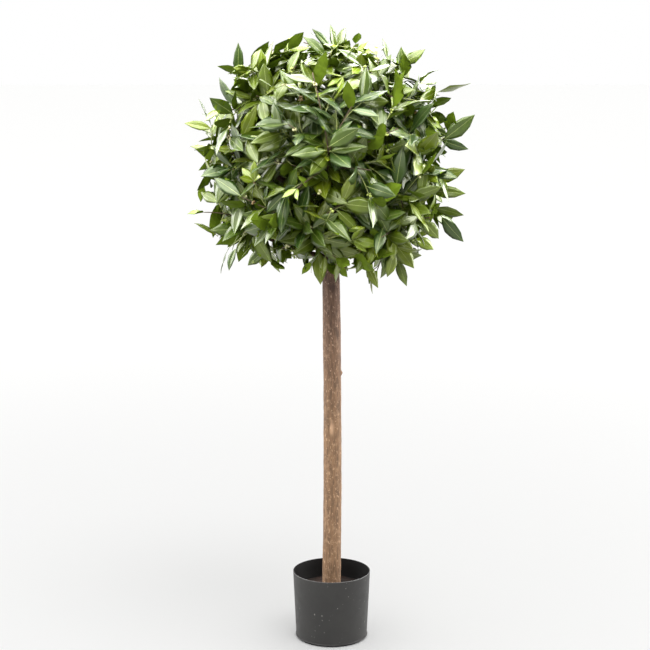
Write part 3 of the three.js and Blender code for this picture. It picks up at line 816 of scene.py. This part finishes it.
# ------------------------------------------------------------
# Leaves. Die-cut polyester cloth, printed green, stiffened and pressed to a fold along a raised rib.
# Older leaves are long and dark; the youngest stand in small light rosettes at the twigs' ends.
LEAF_LENGTH = (0.056, 0.080)
YOUNG_LENGTH = (0.032, 0.048)
YOUNG_FROM = 0.9
STRAY_WIDTH_SHARE = 0.85
LEAF_WIDTH_SHARE = 0.43
LEAF_THICKNESS = 0.0005
RIB_HALF_WIDTH = 0.00038
PETIOLE_SHARE = 0.07
HEAD_TOP = 1.193
LEAF_ROWS = np.array([0, 0.08, 0.17, 0.30, 0.44, 0.58, 0.72, 0.87, 1.0])
TOOTH_SHARE = 0.045
QUILT_RISE = 0.0004
RIB_RISE = 0.00025
INNER_SHARE = 0.52
WAVES_ALONG = 1.6
WIDTH_SPREAD = (0.86, 1.12)
YOUNG_WIDTH_SHARE = 1.05
FOLD = (0.05, 0.32)
CUP = (0.0, 0.22)
BEND = (0.0, 0.7)
TWIST_SPREAD = 0.22
WAVE = (0.0, 0.16)


def blade_half_width(share):
    """The blade's half width as a share of its greatest: a thin stalk, then a sine arch that is fullest
    a little before the middle and runs out to a drawn point."""
    blade = np.clip((share - PETIOLE_SHARE) / (1 - PETIOLE_SHARE), 0, 1)
    return np.sin(np.pi * blade ** 0.90) ** 0.96 * (1 - 0.1 * blade ** 3)


def leaf_surfaces(root, direction, facing, shape):
    """The points of many leaves at once. shape has a row each for length, width, fold, cup, bend, twist,
    wave and phase. Across the blade, height is fold times the distance from the rib less cup times its
    square. Along it, the rib is an arc that turns by bend, and the blade turns about the rib by twist.
    The margin waves with a sine, and steps in and out by a share of itself from row to row as teeth.
    Every second row is quilted up between rib and margin. The underside has only margin and rib.
    Returns leaves x points x 3."""
    length, width, fold, cup, bend, twist, wave, phase = shape[:, :, None, None]
    side = np.cross(facing, direction)
    rows = LEAF_ROWS[None, :, None]
    half = width / 2 * blade_half_width(rows)
    rib = np.minimum(RIB_HALF_WIDTH * (1.15 - 0.75 * rows), half)
    margin = np.maximum(half, rib * 1.01)
    inner = rib + INNER_SHARE * (margin - rib)
    every_second = (np.arange(len(LEAF_ROWS)) % 2)[None, :, None]
    edge = margin * (1 + TOOTH_SHARE * (1 - 2 * every_second))
    across = np.concatenate([-edge, -inner, -rib, rib, inner, edge, 0 * margin], axis=2)
    reach = np.abs(across)
    lift = fold * reach - cup * reach ** 2 / (width / 2)
    ripple = wave * np.sin(2 * np.pi * WAVES_ALONG * rows + phase + 1.3 * np.sign(across)) * reach
    quilt = QUILT_RISE * every_second * np.array([0, 1, 0, 0, 1, 0, 0])
    lift = lift + ripple + quilt + RIB_RISE * np.array([0, 0, 1, 1, 0, 0, 0])
    lift[:, :, 6] = -LEAF_THICKNESS
    turn = twist * rows
    out = across * np.cos(turn) - lift * np.sin(turn)
    rise = across * np.sin(turn) + lift * np.cos(turn)
    angle = bend * rows
    safe = np.maximum(bend, 1e-3)
    ahead = length * np.sin(safe * rows) / safe
    drop = length * (1 - np.cos(safe * rows)) / safe
    forward = ahead + rise * np.sin(angle)
    upward = -drop + rise * np.cos(angle)
    root, direction, side, facing = (ways[:, None, None] for ways in (root, direction, side, facing))
    points = root + forward[..., None] * direction + out[..., None] * side + upward[..., None] * facing
    return points.reshape(len(root), -1, 3)


# One leaf's faces: columns 0 to 5 are its upper side from margin to margin, column 6 its lower rib
leaf_grid = np.arange(len(LEAF_ROWS) * 7).reshape(-1, 7)


def strips(pairs):
    """The quads between pairs of columns, for every row."""
    near, far = leaf_grid[:-1], leaf_grid[1:]
    return np.concatenate([np.stack([near[:, a], near[:, b], far[:, b], far[:, a]], axis=1)
                           for a, b in pairs])


upper_faces = strips([(0, 1), (1, 2), (3, 4), (4, 5)])
rib_faces = strips([(2, 3)])
lower_faces = strips([(5, 6), (6, 0)])
leaf_faces = np.concatenate([upper_faces, rib_faces, lower_faces])
face_side = np.repeat([0, 1, 2], [len(upper_faces), len(rib_faces), len(lower_faces)])

LEAF_TINTS = (  # from the oldest to the youngest
    srgb(36, 60, 14), srgb(51, 71, 5), srgb(70, 86, 3), srgb(92, 106, 6), srgb(101, 119, 12),
    srgb(113, 133, 34))
RIB_TINT = srgb(148, 158, 94)
GLOSS_TINT = (0.82, 0.95, 0.36, 1)
TINT_SPREAD = (0.82, 1.18)
# Undersides in their own paler olive, made lighter still as painted light shining through the cloth from
# behind
UNDER_TINTS = (srgb(84, 103, 24), srgb(112, 133, 40))


def leaf_material(name, colour, roughness, specular=0.6, wax=0.85):
    """Printed cloth under a thin wax: one green, a little lighter and darker in patches the size of a
    leaf's half, with a finer change of gloss."""
    material, tree, shader = shader_of(
        name, Specular_IOR_Level=specular, Specular_Tint=GLOSS_TINT, Coat_Weight=wax, Coat_Roughness=0.3)
    dark, light = (tuple(min(1, share * v) for v in colour[:3]) + (1,) for share in TINT_SPREAD)
    tree.links.new(patches(tree, 45, dark, light, 2.0), shader.inputs["Base Color"])
    rough = patches(tree, 150, *greys(roughness - 0.05, roughness + 0.07), 2.0)
    tree.links.new(rough, shader.inputs["Roughness"])
    return material


leaf_materials = [leaf_material(f"leaf_green_{i + 1}", colour, 0.42)
                  for i, colour in enumerate(LEAF_TINTS)]
leaf_materials.append(leaf_material("leaf_rib", RIB_TINT, 0.5))
leaf_materials += [leaf_material(f"leaf_underside_{i + 1}", colour, 0.62, 0.15, 0)
                   for i, colour in enumerate(UNDER_TINTS)]
RIB_SLOT, UNDER_SLOT = len(LEAF_TINTS), len(LEAF_TINTS) + 1

# Two places low in the front are left open: sideways, height, half width, half height
OPEN_PLACES = ((-0.020, 0.885, 0.036, 0.032), (-0.088, 0.786, 0.050, 0.015))
OPEN_BEFORE = -0.03
DROOP = 0.12
LOW_DROOP = 0.35
LOW_BAND = (0.73, 0.93)  # heights between which the low leaves' droop dies away
HIGH_LIFT = 0.6
HIGH_BAND = (1.05, 1.15)  # heights between which leaves come to stand up
LOWEST_LEAF = 0.705
MIDDLE_SHARE = 0.55
LEAST_ROOM = 0.013
CROWDED_LOSS = 0.7
LEAF_TURNS = np.linspace(-0.9, 0.9, 7)
LEAF_SPREAD = (52, 74)
END_SPREAD = (24, 50)
LEAFY_PLACE = 0.8
TIP_PAIR_SPREAD = 0.45
TIP_PAIR_TILT = 1.8
MOST_LEAVES = 4000
LEAF_PLACES = {"stem": (0.25, 0.4, 0.55, 0.7, 0.85), "shoot": (0.2, 0.35, 0.5, 0.65, 0.8, 0.92),
               "side": (0.3, 0.55, 0.8), "stray": (0.4, 0.75)}
LEAF_REACH = (0.80, 1.03)
OLD_TINT_SHARES = (0.36, 0.38, 0.26)
YOUNG_TINT_SHARES = (0.4, 0.4, 0.2)
# Leaves low in the head take a step lighter tint more often: painted light from the floor's bounce.
# Higher up the lighter step is random tone only.
PAINTED_BOUNCE_BELOW = 0.82
FRESHER_AND_PAINTED_BOUNCE_CHANCES = (0.70, 0.35)
YOUNG_BAND = (0.95, 1.15)
YOUNG_CHANCES = (0.3, 0.8)
INNER_TIP = 0.8
BUD_SHARE = 0.5
UP = np.array([0, 0, 1.0])
leaf_rows = []  # mass, root, direction, facing, length, youth, tone
placed = np.empty((MOST_LEAVES, 3))  # the middle of each leaf in leaf_rows
bud_places = []


def square_to(aim, face):
    """The part of a facing that stands square to a leaf's direction, brought to a length of one."""
    return unit(face - np.dot(face, aim) * aim)


def try_leaf(mass, root, way, spread, turn, length, youth, tone, reach):
    """Turns a leaf about its twig to where the head has most room, among turns that keep it inside the
    head, and records it. Low leaves droop, and high ones may stand up. A leaf with no such turn is left
    out, and so is one in an open place. Returns whether the leaf was placed."""
    aims = spread_about(way, spread, turn + LEAF_TURNS)
    outward = unit(root - HEAD_CENTRE)
    low, high = np.interp(root[2], LOW_BAND, (1, 0)), np.interp(root[2], HIGH_BAND, (0, 1))
    droop = DROOP + LOW_DROOP * low * (1 - 0.6 * youth) - HIGH_LIFT * high * chance.random()
    aims = unit(aims - UP * droop + 0.15 * outward)
    middles = root + MIDDLE_SHARE * length * aims
    x, y, z = middles[len(middles) // 2]
    for open_x, open_z, wide, tall in OPEN_PLACES:
        if y < OPEN_BEFORE and np.hypot((x - open_x) / wide, (z - open_z) / tall) < 1:
            return False
    tips = root + length * aims
    fits = (share_of_reach(tips) < reach) & (tips[:, 2] > LOWEST_LEAF) & (tips[:, 2] < HEAD_TOP)
    if not fits.any():
        return False
    room = np.min(np.linalg.norm(middles[:, None] - placed[:len(leaf_rows)], axis=2), axis=1)
    best = int(np.argmax(np.where(fits, room, -1)))
    if room[best] < LEAST_ROOM and chance.random() < CROWDED_LOSS:
        return False
    face = (1 - 0.6 * high) * way + (0.45 + 0.8 * high) * UP + (0.9 - 0.7 * high) * outward
    face = face + 0.4 * chance.normal(size=3)
    placed[len(leaf_rows)] = middles[best]
    leaf_rows.append((mass, root, aims[best], square_to(aims[best], face), length, youth, tone))
    return True


for mass, (root, tip, flat) in zip(stray_masses, STRAY_LEAVES):
    root, tip = np.array(root), np.array(tip)
    aim = unit(tip - root)
    side_on = np.array([0, -1.0, 0.35])
    edge_on = np.cross(aim, side_on)
    face = square_to(aim, unit(flat * unit(side_on) + (1 - flat) * unit(edge_on)))
    placed[len(leaf_rows)] = (root + tip) / 2
    leaf_rows.append((mass, root, aim, face, np.linalg.norm(tip - root), 0.2, chance.choice([0, 1, 2])))

bare_tips = []
for mass, kind, path, _ in twigs:
    tone = chance.choice([0, 1, 2], p=OLD_TINT_SHARES)
    reach = chance.uniform(*LEAF_REACH)
    turn = chance.uniform(0, 2 * np.pi)
    last = len(path) - 1
    leafy_to = 0
    for share in LEAF_PLACES[kind]:
        spot = share * last
        i = int(spot)
        root = path[i] + (spot - i) * (path[min(i + 1, last)] - path[i])
        way = unit(path[min(i + 1, last)] - path[max(i - 1, 0)])
        turn += GOLDEN_ANGLE
        length = chance.uniform(*LEAF_LENGTH) * (1.05 - 0.2 * share)
        spread = np.radians(chance.uniform(*LEAF_SPREAD))
        if try_leaf(mass, root, way, spread, turn, length, 0.3 * share, tone, reach):
            leafy_to = share
    if kind == "stray":
        continue
    way = unit(path[-1] - path[-2])
    young = chance.random() < np.interp(path[-1][2], YOUNG_BAND, YOUNG_CHANCES)
    inside = share_of_reach(path[-1]) < INNER_TIP
    for _ in range(2 + young + inside):
        turn += GOLDEN_ANGLE
        length = chance.uniform(*(YOUNG_LENGTH if young else LEAF_LENGTH))
        spread = np.radians(chance.uniform(*END_SPREAD))
        if try_leaf(mass, path[-1], way, spread, turn, length, 1.0 if young else 0.4, tone, reach):
            leafy_to = 1
    if leafy_to < LEAFY_PLACE:
        bare_tips.append((mass, path[-1], way))
    if chance.random() < BUD_SHARE:
        bud_places.append(path[-2 if kind == "shoot" else -1])

# A tip that is still bare ends in a pair of young leaves
for mass, tip, way in bare_tips:
    across = unit(np.cross(way, UP))
    for lean in (-TIP_PAIR_SPREAD, TIP_PAIR_SPREAD):
        aim = unit(way + lean * across)
        face = square_to(aim, UP - TIP_PAIR_TILT * lean * across)
        leaf_rows.append((mass, tip, aim, face, YOUNG_LENGTH[0], 1.0, 0))

masses, roots, aims, faces_up, lengths, youths, tones = map(np.array, zip(*leaf_rows))
count = len(masses)
is_young = youths > YOUNG_FROM
widths = lengths * LEAF_WIDTH_SHARE * chance.uniform(*WIDTH_SPREAD, count)
widths *= np.where(is_young, YOUNG_WIDTH_SHARE, 1)
widths[:len(STRAY_LEAVES)] *= STRAY_WIDTH_SHARE
points = leaf_surfaces(roots, aims, faces_up, np.array([
    lengths, widths, chance.uniform(*FOLD, count), chance.uniform(*CUP, count),
    chance.uniform(*BEND, count), chance.normal(0, TWIST_SPREAD, count), chance.uniform(*WAVE, count),
    chance.uniform(0, 2 * np.pi, count)]))
young_tint = chance.choice([3, 4, 5], count, p=YOUNG_TINT_SHARES)
# The lighter tints low in the head are painted bounce light from the floor.
fresher_and_painted_bounce = chance.random(count) < np.where(roots[:, 2] < PAINTED_BOUNCE_BELOW, *FRESHER_AND_PAINTED_BOUNCE_CHANCES)
tint = np.where(is_young, young_tint, np.minimum(tones + fresher_and_painted_bounce, 3))
for mass, node in enumerate(foliage_nodes):
    own = np.flatnonzero(masses == mass)
    own_tint = tint[own]
    faces = (leaf_faces + leaf_grid.size * np.arange(len(own))[:, None, None]).reshape(-1, 4)
    side_slots = np.stack([own_tint, np.full(len(own), RIB_SLOT), UNDER_SLOT + (own_tint > 3)])
    slots = side_slots[face_side].T.ravel()
    piece = mesh_piece(node.replace("foliage", "leaves"), points[own].reshape(-1, 3), faces.tolist(),
                       leaf_materials)
    piece.data.polygons.foreach_set("material_index", slots)
    piece.data.polygons.foreach_set("use_smooth", slots < UNDER_SLOT)
    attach(piece, "root")
    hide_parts(node)

# ------------------------------------------------------------
# Buds. Small moulded pips in cream, yellow-green and brown. They sit four together among the leaves at
# about half of the twigs' ends.
PIP_RADIUS = 0.0024
PIP_SIDES = 7
PIP_ROWS = 5
PIPS_EACH = 4
PIP_SPREAD = 0.0030
pip_rise = np.linspace(-np.pi / 2, np.pi / 2, PIP_ROWS + 2)
pip_profile = np.stack([np.cos(pip_rise), np.sin(pip_rise)], axis=1)
pip_profile[[0, -1], 0] = 0
pip_points, pip_faces = turned_surface(pip_profile, PIP_SIDES)
pips = np.repeat(bud_places, PIPS_EACH, axis=0)
pip_way = unit(chance.normal(size=pips.shape))
pip_size = PIP_RADIUS * chance.uniform(0.75, 1.15, len(pips))
pips = pips + pip_way * PIP_SPREAD
bud_points = pips[:, None, :] + pip_size[:, None, None] * pip_points[None]
bud_faces = [[index + k * len(pip_points) for index in face]
             for k in range(len(pips)) for face in pip_faces]


def bud_material(name, low, high):
    """Soft moulded plastic between two tints."""
    material, tree, shader = shader_of(name, Roughness=0.5)
    tree.links.new(patches(tree, 90, low, high), shader.inputs["Base Color"])
    return material


buds = mesh_piece("buds", bud_points.reshape(-1, 3), bud_faces, [
    bud_material("bud_cream", srgb(176, 176, 118), srgb(206, 204, 156)),
    bud_material("bud_green", srgb(142, 156, 70), srgb(170, 182, 96)),
    bud_material("bud_brown", srgb(112, 88, 52), srgb(146, 120, 76))])
bud_kind = np.repeat(chance.choice([0, 1, 2], len(bud_places), p=[0.5, 0.38, 0.12]),
                     PIPS_EACH * len(pip_faces))
buds.data.polygons.foreach_set("material_index", bud_kind)
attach(buds, "root")
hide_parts(*foliage_nodes)
